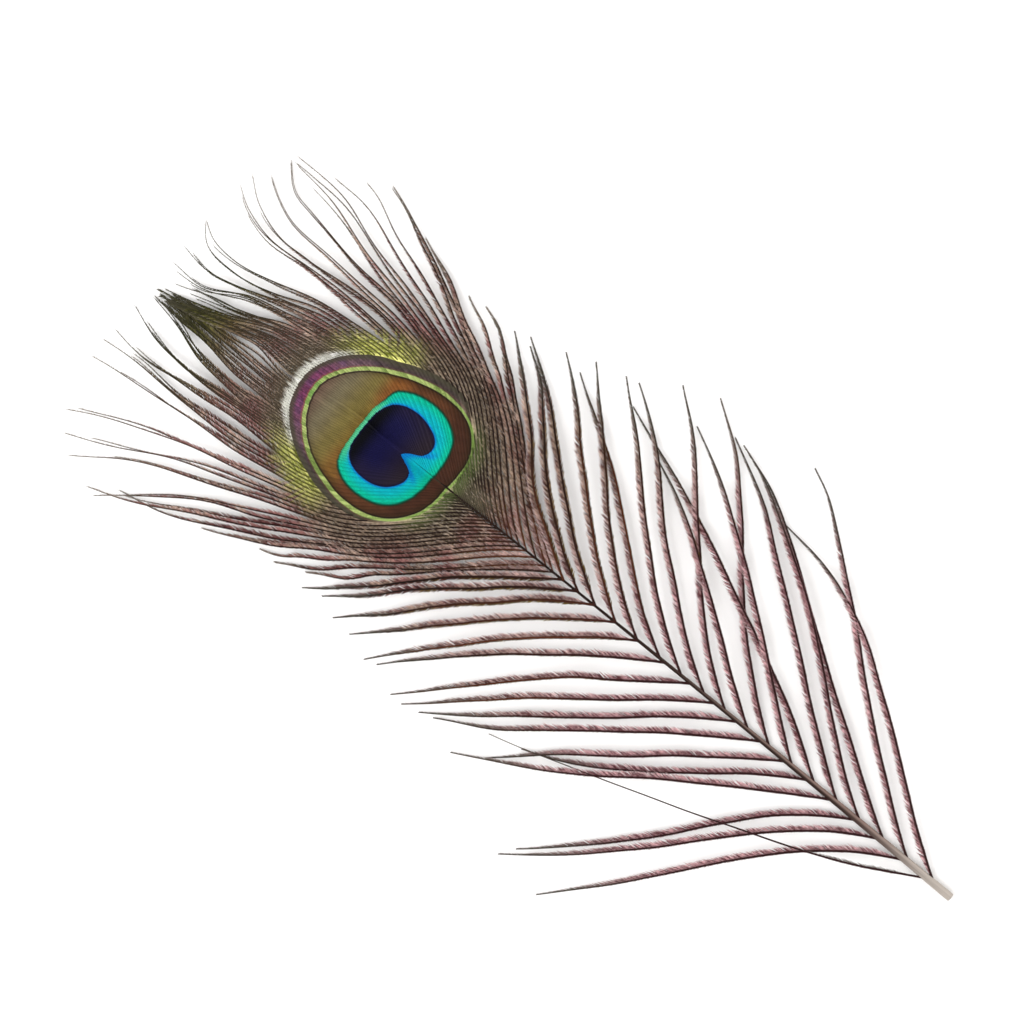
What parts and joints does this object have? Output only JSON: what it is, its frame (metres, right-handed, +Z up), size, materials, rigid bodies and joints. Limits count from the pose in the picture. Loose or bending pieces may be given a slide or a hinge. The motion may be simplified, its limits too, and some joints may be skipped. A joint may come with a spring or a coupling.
{
  "type": "peacock feather",
  "caption": "Eye feather of a peacock, cut through the quill and lying flat: thin shaft, loose barbs on both sides, a round webbed eye and a ragged fringe.",
  "frame": {"origin": "under the middle of the feather's bounding box, on the surface it lies on", "axes": "+X along the shaft from the cut quill to the tip of the fringe, +Y towards the left vane, +Z up, out of the feather's upper face"},
  "size_m": [0.275, 0.1382, 0.0064],
  "materials": {
    "barbs": "rose-brown loose barbs and fringe with dark ribs, silky",
    "quill": "pale horn, darkening to near black towards the eye",
    "eye": "close-set iridescent barbs: lime and violet rings, bronze field, turquoise ring, indigo heart"
  },
  "bodies": {
    "root": {"feather": "barbs"}
  },
  "joints": []
}
